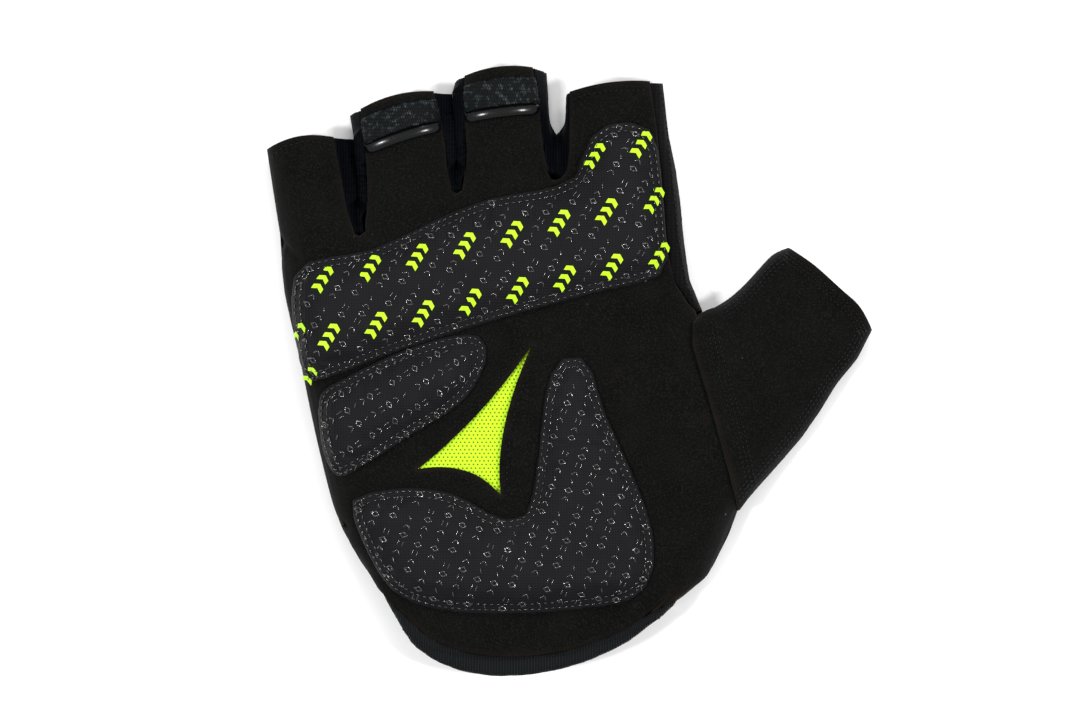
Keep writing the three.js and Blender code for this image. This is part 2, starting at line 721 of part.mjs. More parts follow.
function wristBinding() {
  const wrist = edge(wristEdge);
  const stations = crowdedAtBoth(BINDING_STATIONS);
  const level = (u, height, thickness) => {
    const p = wrist(u);
    return new THREE.Vector3(p.x, p.y, height(p.x, p.y) + thickness);
  };
  const outwards = (u) => {
    const along = wrist(Math.min(u + LOOK_AHEAD, 1)).sub(wrist(Math.max(u - LOOK_AHEAD, 0)));
    return new THREE.Vector3(along.y, -along.x, 0).normalize();
  };
  const onPalmSide = (u) => ({ u, base: level(u, palmHeight, -SUEDE_WALL / 2) });
  const onBackSide = (u) => ({ u, base: level(u, backHeight, BINDING_THICKNESS / 2) });
  const ring = [...stations.map(onPalmSide), ...stations.slice(1, -1).reverse().map(onBackSide)];
  const loop = ring.map(({ u, base }) =>
    [0, 0.5, 1].map((t) => {
      const reach = SEAM_GAP + t * BINDING_WIDTH * fromTable(bindingShow, 'across', u);
      return base.clone().addScaledVector(outwards(u), reach);
    }),
  );
  const skin = new Skin().add([...loop, loop[0]]);
  const made = skin.wall(BINDING_THICKNESS / 2, -BINDING_THICKNESS / 2);
  return largest(made.subtract(palmZone).subtract(backZone));
}

// The finished glove

const SUEDE = { color: 0x141412, roughness: 0.95, metalness: 0 };
const KNIT = { color: 0x15161b, roughness: 0.9, metalness: 0 };
const FOURCHETTE_KNIT = { color: 0x10121c, roughness: 0.8, metalness: 0 };
const PAD_CLOTH = { color: 0x232329, roughness: 0.7, metalness: 0 };
const MESH_CLOTH = { color: 0xc8f01e, roughness: 0.75, metalness: 0 };
const TAPE = { color: 0x10191b, roughness: 0.45, metalness: 0 };
const BINDING = { color: 0x0d1216, roughness: 0.7, metalness: 0 };

const glove = new THREE.Group();

function addPiece(name, made, finish) {
  const { vertProperties, triVerts } = made.getMesh();
  const geometry = new THREE.BufferGeometry();
  geometry.setAttribute('position', new THREE.BufferAttribute(vertProperties, 3));
  geometry.setIndex(new THREE.BufferAttribute(triVerts, 1));
  geometry.computeVertexNormals();
  const piece = new THREE.Mesh(geometry, new THREE.MeshStandardMaterial(finish));
  piece.name = name;
  glove.add(piece);
}

addPiece('palm_panel', palmPanel, SUEDE);
addPiece('back_panel', backPanel, KNIT);
addPiece('thumb_front', thumbFront, SUEDE);
addPiece('thumb_back', thumbBack, KNIT);
['ring_little', 'middle_ring', 'index_middle'].forEach((name, i) => {
  addPiece(`fourchette_${name}`, fourchette(i), FOURCHETTE_KNIT);
});
addPiece('knuckle_pad', pad(knucklePad), PAD_CLOTH);
addPiece('side_pad', pad(sidePad), PAD_CLOTH);
addPiece('heel_pad', pad(heelPad), PAD_CLOTH);
addPiece('mesh_inset', meshInset, MESH_CLOTH);
addPiece('pull_tab_ring', pullTab(1), TAPE);
addPiece('pull_tab_middle', pullTab(2), TAPE);
addPiece('wrist_binding', wristBinding(), BINDING);

// The middle of the glove, seen from above, goes over the origin.
const bounds = new THREE.Box3().setFromObject(glove, true);
const middle = bounds.getCenter(new THREE.Vector3());
glove.position.set(-middle.x, -middle.y, -bounds.min.z);

export default glove;
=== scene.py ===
# A right-hand fingerless cycling glove, lying on its back with the palm up. Lengths are in metres.
# +X runs towards the thumb, +Y towards the fingertips and +Z up out of the palm.
import math

import bmesh
import bpy
from mathutils import Matrix, Vector, noise
from mathutils.bvhtree import BVHTree
from mathutils.kdtree import KDTree


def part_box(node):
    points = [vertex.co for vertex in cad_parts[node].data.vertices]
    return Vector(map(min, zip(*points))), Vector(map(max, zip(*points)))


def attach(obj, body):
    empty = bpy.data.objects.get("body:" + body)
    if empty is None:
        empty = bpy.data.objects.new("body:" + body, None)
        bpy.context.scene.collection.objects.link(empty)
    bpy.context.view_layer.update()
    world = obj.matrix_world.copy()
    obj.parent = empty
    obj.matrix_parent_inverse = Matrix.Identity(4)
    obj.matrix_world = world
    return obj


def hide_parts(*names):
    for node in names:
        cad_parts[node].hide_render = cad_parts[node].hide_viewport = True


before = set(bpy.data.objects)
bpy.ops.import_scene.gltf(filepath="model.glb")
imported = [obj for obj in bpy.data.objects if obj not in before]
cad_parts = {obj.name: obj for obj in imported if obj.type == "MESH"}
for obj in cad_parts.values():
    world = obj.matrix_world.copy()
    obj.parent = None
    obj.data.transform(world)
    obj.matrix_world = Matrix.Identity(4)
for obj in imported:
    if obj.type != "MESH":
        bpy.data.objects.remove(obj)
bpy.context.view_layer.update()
MM = 0.001
UP = Vector((0, 0, 1))

# Table, light and camera. The glove lies on a plain white table under large soft lamps,
# and is seen from straight above through a long lens, so that its outline isn't distorted.
PIXEL = 0.2532 * MM  # what one pixel of the photograph's 1082 x 722 covers at the palm
PHOTO_MIDDLE = (541, 361)
GLOVE_MIDDLE = (569.5, 372)  # the pixel over the frame's origin
SCALE_LEVEL = 9 * MM  # the height at which the pixels have that size
CAMERA_HEIGHT = 3


def from_photo(x, y):
    return Vector(((x - GLOVE_MIDDLE[0]) * PIXEL, (GLOVE_MIDDLE[1] - y) * PIXEL, 0))


def add_camera():
    data = bpy.data.cameras.new("camera")
    data.sensor_width = 36
    data.lens = data.sensor_width * (CAMERA_HEIGHT - SCALE_LEVEL) / (2 * PHOTO_MIDDLE[0] * PIXEL)
    camera = bpy.data.objects.new("camera", data)
    camera.location = from_photo(*PHOTO_MIDDLE) + CAMERA_HEIGHT * UP
    bpy.context.collection.objects.link(camera)
    bpy.context.scene.camera = camera


def add_lamp(name, place, size, power):
    data = bpy.data.lights.new(name, "AREA")
    data.shape = "RECTANGLE"
    data.size, data.size_y = size
    data.energy = power
    lamp = bpy.data.objects.new(name, data)
    lamp.location = place
    lamp.rotation_euler = (-Vector(place)).to_track_quat("-Z", "Y").to_euler()
    bpy.context.collection.objects.link(lamp)


def add_table():
    bm = bmesh.new()
    bmesh.ops.create_grid(bm, x_segments=1, y_segments=1, size=3)
    mesh = bpy.data.meshes.new("table")
    bm.to_mesh(mesh)
    table = bpy.data.objects.new("table", mesh)
    table.location.z = -0.1 * MM
    bpy.context.collection.objects.link(table)
    paint = bpy.data.materials.new("table paint")
    paint.use_nodes = True
    shader = paint.node_tree.nodes["Principled BSDF"]
    shader.inputs["Base Color"].default_value = (0.9, 0.9, 0.9, 1)
    shader.inputs["Roughness"].default_value = 0.9
    mesh.materials.append(paint)


add_camera()
add_lamp("lamp left", (-0.6, -0.15, 1.15), (0.13, 0.21), 10)
add_lamp("lamp right", (0.65, -0.1, 1.1), (0.13, 0.21), 9)
add_lamp("lamp top", (0.1, 0.9, 1.0), (1.0, 0.5), 9)
add_table()
world = bpy.data.worlds.new("studio")
world.use_nodes = True
world.node_tree.nodes["Background"].inputs["Color"].default_value = (1, 1, 1, 1)
world.node_tree.nodes["Background"].inputs["Strength"].default_value = 0.62
bpy.context.scene.world = world
bpy.context.scene.view_settings.view_transform = "Standard"

# Palm panel. One piece of black microfibre suede, cut with the palm faces of the four stalls and a
# three-pointed window, and sewn to the back panel along both sides.
SUEDE_THICKNESS = 1.1 * MM
CLOTH_MESH = 1.5 * MM  # the longest edge in a refined cloth
SAME_POINT = 0.005 * MM
CLOSE_POINTS = 0.15 * MM
NARROW_FACE = 0.25 * MM
SMALL_FACE = 1e-7  # square metres. The direction of a smaller face isn't relied on.
CUT_EDGE = math.radians(38)  # two faces that meet at more than this meet at a cut edge
RIM_MOVE = 0.6 * MM  # how far smoothing may move a cut edge
WORN_EDGE = 1.3 * MM  # how far in from a cut edge the nap is rubbed
RIPPLE_FADE = 4 * MM  # how far in from a cut edge the cloth's waves are lower
KINK = 0.35  # a face is turned over where the cosine to its corner's own direction is below this


def in_plan(vector):
    return Vector((vector.x, vector.y, 0))


def merged_copy(node):
    bm = bmesh.new()
    bm.from_mesh(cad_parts[node].data)
    bmesh.ops.remove_doubles(bm, verts=bm.verts, dist=SAME_POINT)
    bm.normal_update()
    return bm


def outer_skin(node, towards):
    """The outside of a panel as one open sheet, reached from its furthest face up to the cut edges."""
    bm = merged_copy(node)
    large = [face for face in bm.faces if face.calc_area() > SMALL_FACE]
    facing = [face for face in large if face.normal.dot(towards) > 0.8]
    reached = {max(facing, key=lambda face: face.calc_center_median().dot(towards))}
    front = list(reached)
    while front:
        face = front.pop()
        for other in (other for edge in face.edges for other in edge.link_faces):
            if other not in reached and face.normal.angle(other.normal, 0) < CUT_EDGE:
                reached.add(other)
                front.append(other)
    bmesh.ops.delete(bm, geom=[face for face in bm.faces if face not in reached], context="FACES")
    bmesh.ops.remove_doubles(bm, verts=bm.verts, dist=CLOSE_POINTS)
    return bm


def refine(bm, longest, rounds=7):
    """Cuts the long edges until the cloth can bend in small curves."""
    bmesh.ops.triangulate(bm, faces=bm.faces)
    for _ in range(rounds):
        long_edges = [edge for edge in bm.edges if edge.calc_length() > longest]
        if not long_edges:
            break
        bmesh.ops.subdivide_edges(bm, edges=long_edges, cuts=1)
        bmesh.ops.triangulate(bm, faces=[face for face in bm.faces if len(face.verts) > 3])
        bmesh.ops.beautify_fill(bm, faces=bm.faces, edges=bm.edges, method="ANGLE")
    bmesh.ops.dissolve_degenerate(bm, dist=NARROW_FACE, edges=bm.edges)
    bmesh.ops.triangulate(bm, faces=[face for face in bm.faces if len(face.verts) > 3])
    bm.normal_update()


def rim_neighbours(vert):
    return [edge.other_vert(vert) for edge in vert.link_edges if edge.is_boundary]


def relax(bm, verts, factor):
    bmesh.ops.smooth_vert(
        bm, verts=verts, factor=factor, use_axis_x=True, use_axis_y=True, use_axis_z=True
    )


def soften(bm, rounds, corner=math.radians(35)):
    """Rounds off the facets. The cloth's edge is smoothed along itself and keeps its corners.
    Each step inwards is followed by one outwards, so that the cloth doesn't shrink."""
    inner = [vert for vert in bm.verts if not vert.is_boundary]
    rim = {}
    for vert in bm.verts:
        beside = rim_neighbours(vert) if vert.is_boundary else []
        if len(beside) == 2:
            turn = (vert.co - beside[0].co).angle(beside[1].co - vert.co, 0)
            if turn < corner:
                rim[vert] = beside
    cut = {vert: vert.co.copy() for vert in rim}
    for _ in range(rounds):
        for factor in (0.5, -0.52):
            moved = {vert: vert.co.lerp((a.co + b.co) / 2, factor) for vert, (a, b) in rim.items()}
            for vert, place in moved.items():
                vert.co = place
            relax(bm, inner, factor)
    for vert, place in cut.items():
        move = vert.co - place
        vert.co = place + move.normalized() * min(move.length, RIM_MOVE)
    relax(bm, inner, 0.5)
    bm.normal_update()


def tree_of(places):
    tree = KDTree(len(places))
    for i, place in enumerate(places):
        tree.insert(place, i)
    tree.balance()
    return tree


def unfold(bm, rounds=8):
    """Lets out the small kinks where a narrow face has turned over."""
    for _ in range(rounds):
        bm.normal_update()
        kinked = []
        for vert in bm.verts:
            turned = any(face.normal.dot(vert.normal) < KINK for face in vert.link_faces)
            if turned and not vert.is_boundary:
                kinked.append(vert)
        if not kinked:
            break
        relax(bm, kinked, 0.5)
    bm.normal_update()


def ripple(bm, length, depth, shift):
    """Slow waves of cloth that lies without a hand in it. They die out at the cloth's edge,
    and the cloth doesn't pass through the table."""
    rim = tree_of([vert.co.copy() for vert in bm.verts if vert.is_boundary])
    worn = bm.verts.layers.float.new("worn")
    for vert in bm.verts:
        away = rim.find(vert.co)[2]
        wave = noise.noise(vert.co / length + Vector((shift, 0, 0)))
        vert.co += vert.normal * (depth * wave * min(1, away / RIPPLE_FADE))
        vert.co.z = max(vert.co.z, 0)
        vert[worn] = max(0, 1 - away / WORN_EDGE)
    unfold(bm)


def press(bm, path, width, depth):
    """A groove in the cloth along a path that is seen from above."""
    tree = tree_of([in_plan(place) for place in spaced(path, 0.4 * MM)])
    for vert in bm.verts:
        away = tree.find(in_plan(vert.co))[2]
        if away < 2.5 * width:
            vert.co -= vert.normal * depth * math.exp(-((away / width) ** 2))
    bm.normal_update()


def spaced(path, step, closed=False):
    """Points at even steps along a path."""
    ends = path + path[:1] if closed else path
    lengths = [(b - a).length for a, b in zip(ends, ends[1:])]
    count = max(2, round(sum(lengths) / step))
    points = []
    reach, i = 0.0, 0
    for n in range(count if closed else count + 1):
        target = n * sum(lengths) / count
        while i < len(lengths) - 1 and reach + lengths[i] < target:
            reach += lengths[i]
            i += 1
        points.append(ends[i].lerp(ends[i + 1], min(1, (target - reach) / max(lengths[i], 1e-9))))
    return points


def add_piece(name, bm, material, slot, *nodes):
    mesh = bpy.data.meshes.new(name)
    for face in bm.faces:
        face.smooth = True
    bm.to_mesh(mesh)
    bm.free()
    mesh.materials.append(material)
    piece = bpy.data.objects.new(name, mesh)
    bpy.context.collection.objects.link(piece)
    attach(piece, "root")
    if nodes:
        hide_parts(*nodes)
    return piece


def thicken(piece, thickness):
    """Gives a sheet its thickness, on the inside, and keeps it above the table."""
    wall = piece.modifiers.new("wall", "SOLIDIFY")
    wall.thickness = thickness
    wall.offset = -1
    evaluated = piece.evaluated_get(bpy.context.evaluated_depsgraph_get())
    thick = bpy.data.meshes.new_from_object(evaluated)
    piece.modifiers.clear()
    piece.data = thick
    for vert in thick.vertices:
        vert.co.z = max(vert.co.z, 0)


class Finish:
    """A procedural material, built up node by node on a Principled shader."""

    def __init__(self, name, color, roughness):
        self.material = bpy.data.materials.new(name)
        self.material.use_nodes = True
        self.tree = self.material.node_tree
        self.shader = self.tree.nodes["Principled BSDF"]
        self.shader.inputs["Base Color"].default_value = (*color, 1)
        self.shader.inputs["Roughness"].default_value = roughness
        self.place = self.node("ShaderNodeTexCoord").outputs["Object"]
        self.normal = None

    def feed(self, socket, value):
        if isinstance(value, bpy.types.NodeSocket):
            self.tree.links.new(value, socket)
        else:
            socket.default_value = value

    def node(self, kind, settings=None, **inputs):
        made = self.tree.nodes.new(kind)
        for key, value in (settings or {}).items():
            setattr(made, key, value)
        for key, value in inputs.items():
            self.feed(made.inputs[key.replace("_", " ")], value)
        return made

    def math(self, operation, a, b=0.0):
        made = self.node("ShaderNodeMath", {"operation": operation})
        self.feed(made.inputs[0], a)
        self.feed(made.inputs[1], b)
        return made.outputs[0]

    def noise(self, size, detail=2.0):
        made = self.node("ShaderNodeTexNoise", Vector=self.place, Scale=1 / size, Detail=detail)
        return made.outputs["Fac"]

    def waves(self, size, distortion=0.0, direction="X"):
        inputs = {"Vector": self.place, "Scale": 1 / size, "Distortion": distortion, "Detail": 2.0}
        return self.node("ShaderNodeTexWave", {"bands_direction": direction}, **inputs).outputs["Fac"]

    def attribute(self, name):
        return self.node("ShaderNodeAttribute", {"attribute_name": name}).outputs["Fac"]

    def band(self, value, low, high, from_zero=0.0, to_one=1.0):
        made = self.node("ShaderNodeMapRange", Value=value)
        limits = (low, high, from_zero, to_one)
        for name, limit in zip(("From Min", "From Max", "To Min", "To Max"), limits):
            made.inputs[name].default_value = limit
        return made.outputs["Result"]

    def tint(self, share, first, second):
        ramp = self.node("ShaderNodeValToRGB", Fac=share)
        ramp.color_ramp.elements[0].color = (*first, 1)
        ramp.color_ramp.elements[1].color = (*second, 1)
        return ramp.outputs["Color"]

    def mix(self, share, first, second):
        made = self.node("ShaderNodeMix", {"data_type": "RGBA"})
        self.feed(made.inputs[0], share)
        for socket, color in ((made.inputs[6], first), (made.inputs[7], second)):
            self.feed(socket, color if isinstance(color, bpy.types.NodeSocket) else (*color, 1))
        return made.outputs[2]

    def color(self, socket):
        self.tree.links.new(socket, self.shader.inputs["Base Color"])

    def rough(self, socket):
        self.tree.links.new(socket, self.shader.inputs["Roughness"])

    def bump(self, height, depth, strength=1.0):
        made = self.node("ShaderNodeBump", Height=height, Distance=depth, Strength=strength)
        if self.normal:
            self.tree.links.new(self.normal, made.inputs["Normal"])
        self.normal = made.outputs["Normal"]
        self.tree.links.new(self.normal, self.shader.inputs["Normal"])

    def sheen(self, weight, roughness):
        self.shader.inputs["Sheen Weight"].default_value = weight
        self.shader.inputs["Sheen Roughness"].default_value = roughness

    def gloss(self, level):
        self.shader.inputs["Specular IOR Level"].default_value = level


def suede_finish():
    """Short black nap: brushed light and dark clouds, a fine grain, and a few specks of lint."""
    suede = Finish("black suede", (0.0035, 0.0034, 0.0031), 0.92)
    clouds = suede.noise(9 * MM, 4)
    grain = suede.noise(0.4 * MM, 4)
    nap = suede.tint(suede.band(clouds, 0.3, 0.7), (0.0012, 0.0012, 0.0011), (0.0026, 0.0026, 0.0024))
    nap = suede.mix(suede.band(grain, 0.48, 0.72, 0, 0.8), nap, (0.0088, 0.0086, 0.0080))
    worn = suede.math("MULTIPLY", suede.attribute("worn"), suede.band(clouds, 0.3, 0.6))
    nap = suede.mix(worn, nap, (0.0080, 0.0058, 0.0042))
    cells = suede.node("ShaderNodeTexVoronoi", Vector=suede.place, Scale=1 / (6.5 * MM))
    dots = cells.outputs["Distance"]
    lint = suede.math("MULTIPLY", suede.band(dots, 0.045, 0.02), suede.band(grain, 0.35, 0.6))
    suede.color(suede.mix(lint, nap, (0.11, 0.11, 0.10)))
    suede.bump(grain, 0.09 * MM, 0.8)
    suede.bump(suede.noise(0.9 * MM, 2), 0.06 * MM, 0.5)
    suede.sheen(0.02, 0.5)
    suede.gloss(0.05)
    return suede.material


SUEDE = suede_finish()
PALM_CREASES = [
    # start, end, width and depth of the small folds that the empty palm keeps
    ((279, 240), (300, 262), 0.9 * MM, 0.7 * MM),
    ((330, 206), (337, 216), 0.5 * MM, 0.25 * MM),
    ((694, 300), (640, 330), 2.2 * MM, 0.5 * MM),
]
WINDOW_TIP = (528.6, 352.5)  # the top corner of the window, as a pixel of the photograph
TIP_DRAWN_TO = (530.8, 348)
TIP_REACH = 5 * MM
SLOT_ENDS = [
    # the end of each slot between two stalls, a point further up, half the width of the round end,
    # and how far the web is drawn under it
    ((360, 236), (357, 205), 1.7 * MM, 3.2 * MM),
    ((457.6, 193.5), (455, 165), 1.8 * MM, 3.2 * MM),
    ((555.5, 181), (556, 150), 2.1 * MM, 7 * MM),
]


def round_slot_ends(bm):
    """Opens the pointed ends of the slots to round ones."""
    for end, upwards, radius, _ in SLOT_ENDS:
        end = from_photo(*end)
        centre = end + (from_photo(*upwards) - end).normalized() * radius
        for vert in bm.verts:
            offset = in_plan(vert.co - centre)
            if offset.length < radius:
                vert.co += offset.normalized() * (radius - offset.length)


def draw_tip(bm):
    """Sharpens the top corner of the window."""
    tip = from_photo(*WINDOW_TIP)
    drawn = from_photo(*TIP_DRAWN_TO) - tip
    for vert in bm.verts:
        share = 1 - (vert.co - tip).xy.length / TIP_REACH
        if share > 0:
            vert.co += drawn * share


def make_palm():
    bm = outer_skin("palm_panel", UP)
    refine(bm, CLOTH_MESH)
    round_slot_ends(bm)
    soften(bm, rounds=14)
    draw_tip(bm)
    ripple(bm, length=26 * MM, depth=0.55 * MM, shift=3.1)
    for start, end, width, depth in PALM_CREASES:
        press(bm, [from_photo(*start), from_photo(*end)], width, depth)
    piece = add_piece("palm", bm, SUEDE, "suede", "palm_panel")
    thicken(piece, SUEDE_THICKNESS)
    return piece


palm = make_palm()

# Thumb. The front is the same suede, lapped over the palm's edge and turned under at the opening.
# The back is the stretch cloth of the back of the hand.


def knit_finish():
    """Smooth stretch knit: fine columns of loops, painted a little lighter on their crowns and darker
    between them, as light and shade on the loops.
    """
    knit = Finish("black stretch knit", (0.005, 0.005, 0.0062), 0.8)
    columns = knit.waves(3.4 * MM, 0.6)
    courses = knit.waves(2.8 * MM, 0.8, "Y")
    loops = knit.math("MULTIPLY", columns, courses)
    # Painted light and shade: the loops' crowns are lighter and the hollows between them darker.
    cloth = knit.tint(loops, (0.0010, 0.0010, 0.0013), (0.0036, 0.0036, 0.0044))
    brushed = knit.band(knit.noise(14 * MM, 3), 0.35, 0.7, 0, 0.5)
    knit.color(knit.mix(brushed, cloth, (0.0028, 0.0028, 0.0034)))
    knit.bump(loops, 0.12 * MM, 0.7)
    knit.sheen(0.02, 0.4)
    knit.gloss(0.05)
    return knit.material


KNIT = knit_finish()


def make_panel(name, node, towards, material, slot, *, shift):
    bm = outer_skin(node, towards)
    refine(bm, CLOTH_MESH)
    soften(bm, rounds=10)
    ripple(bm, length=22 * MM, depth=0.45 * MM, shift=shift)
    piece = add_piece(name, bm, material, slot, node)
    thicken(piece, SUEDE_THICKNESS)
    return piece


thumb = make_panel(
    "thumb", "thumb_front", UP, SUEDE, "suede", shift=7.7
)
make_panel("thumb_back_cloth", "thumb_back", -UP, KNIT, "knit", shift=1.3)

# Back of the hand. One piece of stretch knit that also wraps round the index finger's side,
# up to its seam on the palm.
back = make_panel("back", "back_panel", -UP, KNIT, "knit", shift=5.2)

# Fourchettes. Narrow strips of thin navy stretch cloth that make the facing sides of two stalls
# and the web between them. They hang in soft upright creases.
FOURCHETTES = ["fourchette_ring_little", "fourchette_middle_ring", "fourchette_index_middle"]
FOURCHETTE_MESH = 0.9 * MM
CREASE_RATES = (400, 90, 60)  # how fast the creases change along X, Y and Z, in steps a metre
CREASE_DEPTH = 0.25 * MM
TUCK_REACH = 7 * MM  # how far from a slot's end the web is drawn under it
TUCK_WIDENING = 0.5
PRESSED = {
    # where the two side walls of a slot touch: the foot and the top of a line of the photograph
    "fourchette_ring_little": ((358.2, 186), (353.2, 137)),
    "fourchette_middle_ring": ((456.5, 150), (452, 92)),
}
PRESS_REACH = 2.6 * MM  # how far from that line the walls are drawn to it
PRESS_FADE = 2.5 * MM  # how far beyond its ends they part
PRESS_FACING = 0.35  # how far a wall's normal has to turn across the slot
PRESS_GAP = 0.02 * MM


def fourchette_finish():
    thin = Finish("navy stretch cloth", (0.0008, 0.0010, 0.0016), 0.6)
    wales = thin.waves(2.2 * MM, 1.5)
    thin.color(thin.tint(wales, (0.0008, 0.0011, 0.0017), (0.0022, 0.0030, 0.0044)))
    thin.bump(wales, 0.04 * MM, 0.4)
    thin.bump(thin.noise(3 * MM, 2), 0.4 * MM, 0.5)
    thin.sheen(0.012, 0.35)
    thin.gloss(0.025)
    return thin.material


FOURCHETTE_CLOTH = fourchette_finish()


def press_together(bm, foot, top):
    """Bellies the two facing walls of a slot out until they touch along a line."""
    foot, top = from_photo(*foot), from_photo(*top)
    for vert in bm.verts:
        t = (vert.co.y - foot.y) / (top.y - foot.y)
        middle = foot.x + (top.x - foot.x) * min(max(t, 0), 1)
        beyond = max(vert.co.y - top.y, foot.y - vert.co.y - PRESS_FADE, 0)
        side = vert.co.x - middle
        facing = vert.normal.x * side < 0 and abs(vert.normal.x) > PRESS_FACING
        if facing and abs(side) < PRESS_REACH and beyond < PRESS_FADE:
            touch = math.copysign(PRESS_GAP, side)
            vert.co.x += (touch - side) * (1 - beyond / PRESS_FADE)


def tuck_webs(bm):
    """Draws the end of the web under the round end of its slot, and widens it there."""
    for end, upwards, _, tuck in SLOT_ENDS:
        end = from_photo(*end)
        axis = (from_photo(*upwards) - end).normalized()
        across = Vector((axis.y, -axis.x, 0))
        for vert in bm.verts:
            offset = in_plan(vert.co - end)
            share = 1 - offset.length / TUCK_REACH
            if share > 0:
                vert.co += across * offset.dot(across) * TUCK_WIDENING * share - axis * tuck * share


def make_fourchette(node):
    bm = merged_copy(node)
    refine(bm, FOURCHETTE_MESH)
    tuck_webs(bm)
    for _ in range(4):
        relax(bm, bm.verts, 0.4)
    bm.normal_update()
    for vert in bm.verts:
        crease = noise.noise(Vector([part * rate for part, rate in zip(vert.co, CREASE_RATES)]))
        vert.co += vert.normal * crease * CREASE_DEPTH
        vert.co.z = max(vert.co.z, 0)
    bm.normal_update()
    if node in PRESSED:
        press_together(bm, *PRESSED[node])
        bm.normal_update()
    add_piece(node.replace("fourchette", "side_wall"), bm, FOURCHETTE_CLOTH, "fourchette_knit", node)


for node in FOURCHETTES:
    make_fourchette(node)

# Pads. Each is a finely woven cover over gel, sewn flat round its rim. The cover is let loose and
# blown up from inside until it lies over the filling as the sewn cloth does.
PAD_NODES = ["knuckle_pad", "side_pad", "heel_pad"]
PAD_VOXEL = 0.75 * MM
SIM_SCALE = 12  # the cover swells as a larger piece of cloth does, which keeps the solver steady
SWELL_FRAMES = 20
SWELL_CAP = 1.1 * MM  # how far the cover may move
SEWN_RIM = 2.4 * MM  # how far in from the outline the cover is held flat
UNDERSIDE = 0.1  # the cover is held where the upward part of its normal is below this


def pad_finish():
    """Close weave, seen as a fine grid, with a faint blue cast."""
    cover = Finish("pad cover", (0.009, 0.009, 0.011), 0.62)
    warp = cover.waves(2.3 * MM, 0.4)
    weft = cover.waves(2.3 * MM, 0.4, "Y")
    weave = cover.math("MAXIMUM", warp, weft)
    cloth = cover.tint(weave, (0.0012, 0.0012, 0.0016), (0.0046, 0.0046, 0.0058))
    patchy = cover.band(cover.noise(7 * MM, 3), 0.35, 0.7, 0, 0.6)
    cover.color(cover.mix(patchy, cloth, (0.0019, 0.0019, 0.0024)))
    cover.bump(weave, 0.07 * MM, 0.8)
    cover.bump(cover.noise(2.4 * MM, 3), 0.25 * MM, 0.4)
    cover.sheen(0.04, 0.4)
    cover.gloss(0.1)
    return cover.material


PAD_COVER = pad_finish()


def rim_loop(node):
    """The sewn outline of a pad, in order, from its top skin."""
    bm = outer_skin(node, UP)
    loops = boundary_loops(bm)
    bm.free()
    return max(loops, key=len)


def boundary_loops(bm):
    """Each edge of an open cloth as a path of places, up to its start again. The edges are taken
    from a dict, which keeps their order, so that every run starts a path at the same place."""
    left = dict.fromkeys(edge for edge in bm.edges if edge.is_boundary)
    loops = []
    while left:
        start, vert = left.popitem()[0].verts
        path = [start.co.copy(), vert.co.copy()]
        while vert is not start:
            onward = [other for other in vert.link_edges if other in left]
            if not onward:
                break
            del left[onward[0]]
            vert = onward[0].other_vert(vert)
            path.append(vert.co.copy())
        if vert is start:
            path.pop()
        loops.append(path)
    return loops


def remeshed(node, voxel):
    """A closed piece as even small quads."""
    bm = merged_copy(node)
    mesh = bpy.data.meshes.new(f"{node} blank")
    bm.to_mesh(mesh)
    bm.free()
    blank = bpy.data.objects.new(f"{node} blank", mesh)
    bpy.context.collection.objects.link(blank)
    bpy.context.view_layer.objects.active = blank
    mesh.remesh_voxel_size = voxel
    mesh.remesh_voxel_adaptivity = 0
    with bpy.context.temp_override(object=blank, active_object=blank, selected_objects=[blank]):
        bpy.ops.object.voxel_remesh()
    return blank


def swell(blank, rim):
    """Blows the cover up over its filling, with its underside and its sewn rim held."""
    mesh = blank.data
    tree = tree_of(rim)
    held = []
    for vert in mesh.vertices:
        near = tree.find(vert.co)[2]
        if vert.normal.z < UNDERSIDE or near < SEWN_RIM:
            held.append(vert.index)
    rest = [vert.co.copy() for vert in mesh.vertices]
    group = blank.vertex_groups.new(name="held")
    group.add(held, 1, "REPLACE")
    mesh.transform(Matrix.Scale(SIM_SCALE, 4))
    cloth = blank.modifiers.new("cover", "CLOTH")
    cloth.settings.quality = 6
    cloth.settings.mass = 0.15
    cloth.settings.tension_stiffness = 12
    cloth.settings.compression_stiffness = 12
    cloth.settings.bending_stiffness = 0.02
    cloth.settings.vertex_group_mass = "held"
    cloth.settings.use_pressure = True
    cloth.settings.uniform_pressure_force = 4
    cloth.settings.shrink_min = -0.035
    cloth.settings.effector_weights.gravity = 0
    cloth.point_cache.frame_end = SWELL_FRAMES
    for number in range(1, SWELL_FRAMES + 1):
        bpy.context.scene.frame_set(number)
    shaped = blank.evaluated_get(bpy.context.evaluated_depsgraph_get()).data
    places = [vert.co / SIM_SCALE for vert in shaped.vertices]
    blank.modifiers.clear()
    bpy.context.scene.frame_set(1)
    for vert, start, place in zip(mesh.vertices, rest, places):
        move = place - start
        vert.co = start + move.normalized() * min(move.length, SWELL_CAP)


def make_pad(node):
    rim = spaced(rim_loop(node), 0.5 * MM, closed=True)
    blank = remeshed(node, PAD_VOXEL)
    swell(blank, rim)
    bm = bmesh.new()
    bm.from_mesh(blank.data)
    bpy.data.objects.remove(blank)
    for _ in range(2):
        relax(bm, bm.verts, 0.5)
    bm.normal_update()
    piece = add_piece(f"{node}_cover", bm, PAD_COVER, "pad_cloth", node)
    finer = piece.modifiers.new("finer", "SUBSURF")
    finer.levels = finer.render_levels = 1
    return piece, rim


pads = {node: make_pad(node) for node in PAD_NODES}

# Mesh inset. Chartreuse warp-knitted mesh, sewn behind the window, with small holes in a close
# honeycomb that show the dark inside.
MESH_THICKNESS = 0.5 * MM
HOLE_PITCH = 1.08 * MM
HOLE_RADIUS = 0.26 * MM


